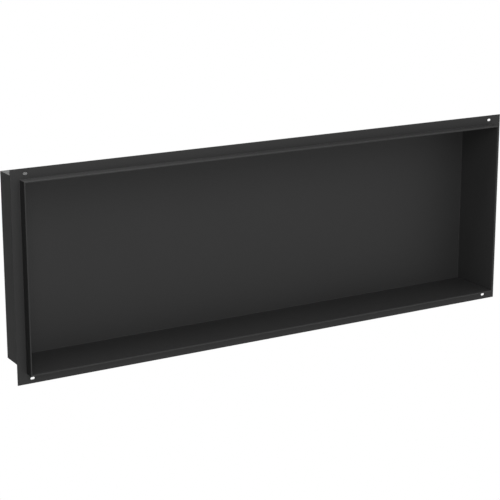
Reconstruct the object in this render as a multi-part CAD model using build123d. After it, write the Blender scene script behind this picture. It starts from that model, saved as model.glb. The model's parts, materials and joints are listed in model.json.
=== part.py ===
from build123d import *
import os

# Sizes are in millimetres. X runs along the niche, Z is up and Y goes into the wall.
# The origin is the middle of the flange's back face, where it lies on the wall.

# The folded box
opening_width = 900.0
opening_height = 302.0
overall_depth = 101.0   # nose of the rim to the outside of the back
sheet = 1.0             # one gauge of sheet for the walls, the back and the flange
bend_radius = 0.8       # inside of the folds at the back and at the flange

# The rim: the sheet is folded back on itself, then turned out to make the flange
hem_gap = 0.4           # between the wall and the strip folded back along it
lip_height = 17.0       # rim standing in front of the flange, for the wall's finish to meet

# The flange and its screw slots
flange_end = 15.5       # flange beyond the rim, at the left and the right
flange_edge = 17.1      # flange beyond the rim, above and below
slot_length = 7.0
slot_width = 4.0
slot_from_end = 24.8    # middle of a slot to the flange's end
slot_from_edge = 8.2    # middle of a slot to the flange's long edge

# What follows from them
rim_thickness = 2 * sheet + hem_gap
flange_width = opening_width + 2 * (rim_thickness + flange_end)
flange_height = opening_height + 2 * (rim_thickness + flange_edge)
flange_front = -sheet
nose_front = flange_front - lip_height
back_outside = nose_front + overall_depth


def folded_section():
    # Middle line of the sheet, from the back fold, along the wall, round the hem and out to
    # the flange. The first coordinate is the distance outwards from the opening, the second is Y.
    fold_radius = bend_radius + sheet / 2
    hem_radius = (hem_gap + sheet) / 2
    back_fold = JernArc((-bend_radius, back_outside - sheet / 2), (1, 0), fold_radius, -90)
    wall = Line(back_fold @ 1, (sheet / 2, nose_front + rim_thickness / 2))
    hem = JernArc(wall @ 1, (0, -1), hem_radius, 180)
    lip = Line(hem @ 1, (rim_thickness - sheet / 2, flange_front - bend_radius))
    flange_fold = JernArc(lip @ 1, (0, 1), fold_radius, -90)
    return trace([back_fold, wall, hem, lip, flange_fold], sheet)


def walls_and_rim():
    # The section is carried from the middle of the bottom, round the right end, to the middle of
    # the top, with mitred corners, and the left half is its mirror image.
    half_width = opening_width / 2
    half_height = opening_height / 2
    half_round = Polyline(
        (0, 0, -half_height),
        (half_width, 0, -half_height),
        (half_width, 0, half_height),
        (0, 0, half_height),
    )
    start = Plane(origin=half_round @ 0, x_dir=(0, 0, -1), z_dir=(1, 0, 0))
    section = start * folded_section()
    right_half = sweep(section.face(), path=half_round, transition=Transition.RIGHT)
    return right_half + mirror(right_half, about=Plane.YZ)


def flange():
    fold_reach = rim_thickness + bend_radius
    frame = Rectangle(flange_width, flange_height)
    frame -= Rectangle(opening_width + 2 * fold_reach, opening_height + 2 * fold_reach)
    slot_spacing_x = flange_width - 2 * slot_from_end
    slot_spacing_z = flange_height - 2 * slot_from_edge
    frame -= GridLocations(slot_spacing_x, slot_spacing_z, 2, 2) * SlotOverall(slot_length, slot_width)
    return extrude(Plane.XZ * frame, amount=sheet)


def back_panel():
    panel = Rectangle(opening_width - 2 * bend_radius, opening_height - 2 * bend_radius)
    return extrude(Plane.XZ.offset(-back_outside) * panel, amount=sheet)


niche_box = walls_and_rim() + flange() + back_panel()

os.makedirs("parts", exist_ok=True)
export_step(niche_box, "parts/niche_box.step")
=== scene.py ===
import json
import math

import bmesh
import bpy
from mathutils import Matrix, Vector


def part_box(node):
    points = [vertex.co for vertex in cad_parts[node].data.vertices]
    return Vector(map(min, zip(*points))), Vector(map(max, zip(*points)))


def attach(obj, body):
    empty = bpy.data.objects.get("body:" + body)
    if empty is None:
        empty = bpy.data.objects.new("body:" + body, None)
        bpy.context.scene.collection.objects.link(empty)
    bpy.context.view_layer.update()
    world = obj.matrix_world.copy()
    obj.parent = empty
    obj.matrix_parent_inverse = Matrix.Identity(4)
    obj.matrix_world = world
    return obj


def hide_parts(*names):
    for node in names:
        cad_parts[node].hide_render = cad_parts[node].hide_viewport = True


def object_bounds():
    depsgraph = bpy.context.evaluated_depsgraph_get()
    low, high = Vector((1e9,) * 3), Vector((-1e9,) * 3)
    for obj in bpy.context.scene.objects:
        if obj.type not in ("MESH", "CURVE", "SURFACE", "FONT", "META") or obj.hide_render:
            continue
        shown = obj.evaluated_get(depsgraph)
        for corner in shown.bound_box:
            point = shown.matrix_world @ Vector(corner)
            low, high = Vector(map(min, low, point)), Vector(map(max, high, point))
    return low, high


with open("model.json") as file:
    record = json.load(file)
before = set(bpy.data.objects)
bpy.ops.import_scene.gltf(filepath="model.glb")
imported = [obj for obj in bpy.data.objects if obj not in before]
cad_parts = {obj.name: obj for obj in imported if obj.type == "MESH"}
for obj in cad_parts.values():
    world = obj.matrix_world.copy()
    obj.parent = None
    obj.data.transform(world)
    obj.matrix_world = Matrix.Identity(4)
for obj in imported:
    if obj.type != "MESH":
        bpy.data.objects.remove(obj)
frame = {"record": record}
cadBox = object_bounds()
scene = bpy.context.scene
print("frame loaded")


class Wire:
    # a shader socket that can be used in plain sums
    def __init__(self, tree, socket=None):
        self.tree = tree
        self.socket = socket

    def node(self, kind, settings=None, inputs=None, output=0):
        made = self.tree.nodes.new(kind)
        for name, value in (settings or {}).items():
            setattr(made, name, value)
        for name, value in (inputs or {}).items():
            if isinstance(value, Wire):
                self.tree.links.new(value.socket, made.inputs[name])
            else:
                made.inputs[name].default_value = value
        return Wire(self.tree, made.outputs[output] if len(made.outputs) else None)

    def maths(self, operation, first, second):
        return self.node("ShaderNodeMath", {"operation": operation}, {0: first, 1: second})

    def __add__(self, other):
        return self.maths("ADD", self, other)

    def __radd__(self, other):
        return self.maths("ADD", other, self)

    def __sub__(self, other):
        return self.maths("SUBTRACT", self, other)

    def __rsub__(self, other):
        return self.maths("SUBTRACT", other, self)

    def __mul__(self, other):
        return self.maths("MULTIPLY", self, other)

    def __rmul__(self, other):
        return self.maths("MULTIPLY", other, self)


# The folded sheet, in metres: its outer sizes and the screw slots' places come from the frame
sheetSizes = {
    "thickness": 0.0010,
    "hemGap": 0.0004,        # between the wall and the strip folded back along it
    "foldRadius": 0.0008,    # inside the folds at the back and at the flange
    "lipHeight": 0.0170,     # rim standing in front of the flange
    "flangeEnd": 0.0155,     # flange beyond the rim, left and right
    "flangeEdge": 0.0171,    # flange beyond the rim, above and below
    "slotWidth": 0.0040,
    "slotMargin": 0.0015,    # of the cell that a slot is cut into
    "slotSegments": 48,
    "foldSegments": 6,
    "edgeRound": 0.00022,    # cut edges, softened by the coat
    "edgeSegments": 3,
    "sharpAngle": 40,        # degrees, past which an edge stays crisp
    "meetGap": 1e-6,         # points nearer than this are taken as one
    "cutGap": 1e-7,          # the same where a plane cuts the flange
}
millimetres = 1000           # in a metre
upright = Matrix.Rotation(math.radians(90), 4, "X")    # turns a new grid or circle to face along Y


def drawOut(bm, edge, spread, along):
    # pulls an edge loop of the sheet outwards and along Y, and gives back the new loop
    grown = bmesh.ops.extrude_edge_only(bm, edges=edge)["geom"]
    verts = {g for g in grown if isinstance(g, bmesh.types.BMVert)}
    for v in verts:
        v.co += Vector((math.copysign(spread, v.co.x), along, math.copysign(spread, v.co.z)))
    return [g for g in grown if isinstance(g, bmesh.types.BMEdge) and set(g.verts) <= verts]


def roundFold(bm, edges, radius, segments):
    bmesh.ops.bevel(
        bm,
        geom=edges,
        offset=radius,
        segments=segments,
        profile=0.5,
        affect="EDGES",
        material=-1,
    )


def foldFace(bm, sizes, depth):
    # one face of the sheet, lying depth under the face that shows: the back, then the walls
    # forward, over the nose, back along the lip and out into the flange
    low, high = (Vector(c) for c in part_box("niche_box"))
    rim = 2 * sizes["thickness"] + sizes["hemGap"]
    wallX = high.x - sizes["flangeEnd"] - rim + depth
    wallZ = high.z - sizes["flangeEdge"] - rim + depth
    backY = high.y - sizes["thickness"] + depth
    noseY = low.y + depth
    flangeY = low.y + sizes["lipHeight"] + depth

    placed = Matrix.Translation((0, backY, 0)) @ upright
    back = bmesh.ops.create_grid(bm, x_segments=1, y_segments=1, size=1, matrix=placed)["verts"]
    bmesh.ops.scale(bm, vec=(wallX, 1, wallZ), verts=back)
    backFold = back[0].link_faces[0].edges[:]
    noseInner = drawOut(bm, backFold, 0, noseY - backY)
    noseOuter = drawOut(bm, noseInner, rim - 2 * depth, 0)
    flangeFold = drawOut(bm, noseOuter, 0, flangeY - noseY)
    freeEdge = drawOut(bm, flangeFold, sizes["flangeEnd"] + depth, 0)
    roundFold(bm, backFold + flangeFold, sizes["foldRadius"] + depth, sizes["foldSegments"])
    roundFold(bm, noseInner + noseOuter, rim / 2 - depth, sizes["foldSegments"])
    for v in {v for e in freeEdge for v in e.verts}:
        v.co.z = math.copysign(high.z, v.co.z)
    return flangeY


def faceAt(bm, point, sizes):
    # the flat face of the flange that holds the point
    bm.normal_update()
    level = [f for f in bm.faces if abs(f.calc_center_median().y - point.y) < sizes["meetGap"]]
    return next(f for f in level if bmesh.geometry.intersect_face_point(f, point))


def cutSlot(bm, centre, length, sizes):
    # four cuts frame a cell in the flange, which gives way to the slot's outline
    width = sizes["slotWidth"]
    reach = Vector((length / 2 + sizes["slotMargin"], 0, width / 2 + sizes["slotMargin"]))
    for axis in (Vector((1, 0, 0)), Vector((0, 0, 1))):
        for side in (-1, 1):
            face = faceAt(bm, centre, sizes)
            bmesh.ops.bisect_plane(
                bm,
                geom=[face] + face.edges[:] + face.verts[:],
                dist=sizes["cutGap"],
                plane_co=centre + side * axis * reach.dot(axis),
                plane_no=axis,
            )
    cell = faceAt(bm, centre, sizes)
    cellEdges = cell.edges[:]
    bmesh.ops.delete(bm, geom=[cell], context="FACES_ONLY")
    placed = Matrix.Translation(centre) @ upright
    outline = bmesh.ops.create_circle(
        bm, segments=sizes["slotSegments"], radius=width / 2, matrix=placed
    )["verts"]
    for v in outline:
        v.co.x += math.copysign((length - width) / 2, v.co.x - centre.x)
    slotEdges = list(dict.fromkeys(e for v in outline for e in v.link_edges))
    bmesh.ops.triangle_fill(bm, edges=cellEdges + slotEdges, use_beauty=True, normal=(0, -1, 0))
    return slotEdges


def makeNiche(sizes):
    fixings = next(m for m in frame["record"]["mounts"] if m["name"] == "wall_fixings")["dims"]
    slotX = fixings["spacing_x_mm"] / millimetres / 2
    slotZ = fixings["spacing_y_mm"] / millimetres / 2
    slotLength = fixings["slot_length_mm"] / millimetres
    bm = bmesh.new()
    flangeYs = [foldFace(bm, sizes, depth) for depth in (0, sizes["thickness"])]

    # the two faces of the sheet are closed round the slots and along the flange's edge
    cutFaces = []
    for x in (-slotX, slotX):
        for z in (-slotZ, slotZ):
            outlines = [cutSlot(bm, Vector((x, y, z)), slotLength, sizes) for y in flangeYs]
            cutFaces += bmesh.ops.bridge_loops(bm, edges=outlines[0] + outlines[1])["faces"]
    freeEdges = [e for e in bm.edges if e.is_boundary]
    cutFaces += bmesh.ops.bridge_loops(bm, edges=freeEdges)["faces"]
    bmesh.ops.remove_doubles(bm, verts=bm.verts[:], dist=sizes["meetGap"])
    bmesh.ops.recalc_face_normals(bm, faces=bm.faces[:])
    crisp = math.radians(sizes["sharpAngle"])
    cutEdges = dict.fromkeys(e for f in cutFaces for e in f.edges if e.calc_face_angle() > crisp)
    roundFold(bm, list(cutEdges), sizes["edgeRound"], sizes["edgeSegments"])

    mesh = bpy.data.meshes.new("folded_niche")
    bm.to_mesh(mesh)
    bm.free()
    mesh.shade_smooth()
    mesh.set_sharp_from_angle(angle=crisp)
    piece = bpy.data.objects.new("folded_niche", mesh)
    scene.collection.objects.link(piece)
    flats = piece.modifiers.new("flats", "WEIGHTED_NORMAL")
    flats.keep_sharp = True
    return piece


# Satin black powder coat: a faint orange peel, with a sheen and a tone that wander a little
coat = {
    "colour": 0.036,
    "toneDrift": 0.10,       # share by which the tone wanders
    "roughness": 0.50,
    "roughnessDrift": 0.06,
    "reflection": 0.20,
    "driftScale": 9,         # patches a metre
    "driftDetail": 3,
    "peelScale": 520,        # dimples a metre
    "peelDetail": 2,
    "peelHeight": 0.00015,
}


def powderCoat(coat):
    material = bpy.data.materials.new("satin_black_powder_coat")
    material.use_nodes = True
    tree = material.node_tree
    tree.nodes.clear()
    wire = Wire(tree)
    place = wire.node("ShaderNodeTexCoord", output="Object")
    drift = wire.node(
        "ShaderNodeTexNoise",
        inputs={"Vector": place, "Scale": coat["driftScale"], "Detail": coat["driftDetail"]},
    )
    peel = wire.node(
        "ShaderNodeTexNoise",
        inputs={"Vector": place, "Scale": coat["peelScale"], "Detail": coat["peelDetail"]},
    )
    swing = drift - 0.5    # to both sides of nought
    tone = coat["colour"] * (1 + swing * coat["toneDrift"])
    sheen = coat["roughness"] + swing * coat["roughnessDrift"]
    dimples = wire.node(
        "ShaderNodeBump", inputs={"Height": peel, "Strength": 1, "Distance": coat["peelHeight"]}
    )
    surface = wire.node(
        "ShaderNodeBsdfPrincipled",
        inputs={
            "Base Color": tone,
            "Roughness": sheen,
            "Specular IOR Level": coat["reflection"],
            "Normal": dimples,
        },
    )
    wire.node("ShaderNodeOutputMaterial", inputs={"Surface": surface})
    return material


niche = makeNiche(sheetSizes)
niche.data.materials.append(powderCoat(coat))
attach(niche, "root")
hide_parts("niche_box")
print("sheet folded:", len(niche.data.polygons), "faces")

# The room: white all round to the eye and in reflections, with a weak light of its own
room = {
    "glow": 0.47,
    "white": (1, 1, 1, 1),
    "floorDrop": 1.2,            # under the niche
    "floorReach": 5.0,
    "floorBack": 0.9,
    "floorColour": 0.80,
    "floorWhite": 0.6,           # share by which the floor looks plain white
    "cardX": -1.0,               # a dark card at the left, hidden from the camera
    "cardFront": -0.9,
    "cardBack": 1.6,
    "cardBottom": -0.8,
    "cardTop": 1.2,
    "cardColour": 0.03,
}


def seenRays(wire):
    # 1 where the eye looks: straight on, by reflection or through something clear
    kinds = ("Is Camera Ray", "Is Glossy Ray", "Is Transmission Ray")
    straight, mirrored, through = (wire.node("ShaderNodeLightPath", output=kind) for kind in kinds)
    return straight + mirrored + through


world = bpy.data.worlds.new("white_room")
world.use_nodes = True
world.node_tree.nodes.clear()
wire = Wire(world.node_tree)
shed = wire.node("ShaderNodeBackground", inputs={"Color": room["white"], "Strength": room["glow"]})
seen = wire.node("ShaderNodeBackground", inputs={"Color": room["white"], "Strength": 1})
mixed = wire.node("ShaderNodeMixShader", inputs={0: seenRays(wire), 1: shed, 2: seen})
wire.node("ShaderNodeOutputWorld", inputs={"Surface": mixed})
scene.world = world


def card(name, corners, colour, whiteShare=0):
    # a flat stand of the studio, through four corners; whiteShare of it looks plain white
    bm = bmesh.new()
    bm.faces.new([bm.verts.new(c) for c in corners])
    mesh = bpy.data.meshes.new(name)
    bm.to_mesh(mesh)
    bm.free()
    stand = bpy.data.objects.new(name, mesh)
    scene.collection.objects.link(stand)
    material = bpy.data.materials.new(name)
    material.use_nodes = True
    material.node_tree.nodes.clear()
    wire = Wire(material.node_tree)
    paint = wire.node(
        "ShaderNodeBsdfPrincipled",
        inputs={"Base Color": (colour, colour, colour, 1), "Roughness": 1, "Specular IOR Level": 0},
    )
    white = wire.node("ShaderNodeEmission", inputs={"Color": room["white"], "Strength": 1})
    share = seenRays(wire) * whiteShare
    look = wire.node("ShaderNodeMixShader", inputs={0: share, 1: paint, 2: white})
    wire.node("ShaderNodeOutputMaterial", inputs={"Surface": look})
    mesh.materials.append(material)
    return stand


reach = room["floorReach"]
floorZ = cadBox[0][2] - room["floorDrop"]
card(
    "floor",
    [(-reach, -reach, floorZ), (reach, -reach, floorZ),
     (reach, room["floorBack"], floorZ), (-reach, room["floorBack"], floorZ)],
    room["floorColour"],
    room["floorWhite"],
)
cardX = room["cardX"]
darkCard = card(
    "dark_card",
    [(cardX, room["cardFront"], room["cardBottom"]), (cardX, room["cardBack"], room["cardBottom"]),
     (cardX, room["cardBack"], room["cardTop"]), (cardX, room["cardFront"], room["cardTop"])],
    room["cardColour"],
)
darkCard.visible_camera = False
print("room set up")

# Softboxes at the upper left, in front and low at the left, a small near one over the rim,
# and a strip behind for the outside of the top
softboxes = {
    "left": {"place": (-0.9, -1.5, 1.2), "aim": (0, 0, 0), "size": (1.2, 1.0), "power": 11.4},
    "front": {"place": (-0.9, -3.0, 0.3), "aim": (0, 0, 0), "size": (0.8, 0.8), "power": 14.4},
    "low": {"place": (-1.3, -1.9, -0.4), "aim": (0, 0, 0), "size": (1.0, 1.0), "power": 3.6},
    "over": {"place": (-0.5, -0.05, 1.0), "aim": (-0.5, -0.05, 0), "size": (0.5, 0.4), "power": 5.9},
    "behind": {"place": (0, 1.2, 0.42), "aim": (0, 0.04, 0.155), "size": (1.6, 0.3), "power": 2.2},
}
for name, softbox in softboxes.items():
    lamp = bpy.data.lights.new(name, "AREA")
    lamp.shape = "RECTANGLE"
    lamp.size, lamp.size_y = softbox["size"]
    lamp.energy = softbox["power"]
    stand = bpy.data.objects.new(name, lamp)
    stand.location = softbox["place"]
    aim = Vector(softbox["aim"]) - Vector(softbox["place"])
    stand.rotation_euler = aim.to_track_quat("-Z", "Y").to_euler()
    scene.collection.objects.link(stand)
print("lights placed:", len(softboxes), "softboxes")

# Camera at the photograph's viewing angle
cameraSizes = {
    "lens": 110.880,
    "place": (-1.29934, -2.11770, 0.65195),
    "turn": (75.9828, 0, -30.5910),
    "shift": (-0.0041, -0.0571),
}
lens = bpy.data.cameras.new("camera")
lens.lens = cameraSizes["lens"]
lens.shift_x, lens.shift_y = cameraSizes["shift"]
camera = bpy.data.objects.new("camera", lens)
camera.location = cameraSizes["place"]
camera.rotation_euler = [math.radians(a) for a in cameraSizes["turn"]]
scene.collection.objects.link(camera)
scene.camera = camera
scene.view_settings.view_transform = "Standard"
print("camera set")
